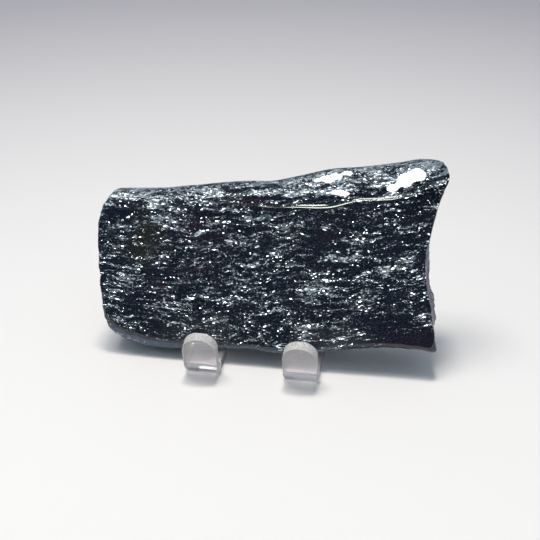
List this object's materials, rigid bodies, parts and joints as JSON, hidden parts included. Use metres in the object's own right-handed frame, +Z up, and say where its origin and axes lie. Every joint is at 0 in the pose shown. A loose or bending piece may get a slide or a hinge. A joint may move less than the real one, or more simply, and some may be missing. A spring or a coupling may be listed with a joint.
{
  "type": "specular hematite slab on a stand",
  "caption": "Polished slab of specular hematite with silvery mica-like flecks, a rounded top shoulder and a broken side, leaning on a small bent clear acrylic easel.",
  "frame": {"origin": "on the floor, under the middle of the whole object's box", "axes": "+X along the slab's width, -Y out of its polished face, +Z up"},
  "size_m": [0.098, 0.0614, 0.0578],
  "materials": {
    "specular_hematite": "polished, navy black with pale silvery flecks in wavy bands",
    "clear_acrylic": "clear faces, frosted edges"
  },
  "bodies": {
    "root": {"hematite_slab": "specular_hematite", "display_stand": "clear_acrylic"}
  },
  "joints": []
}
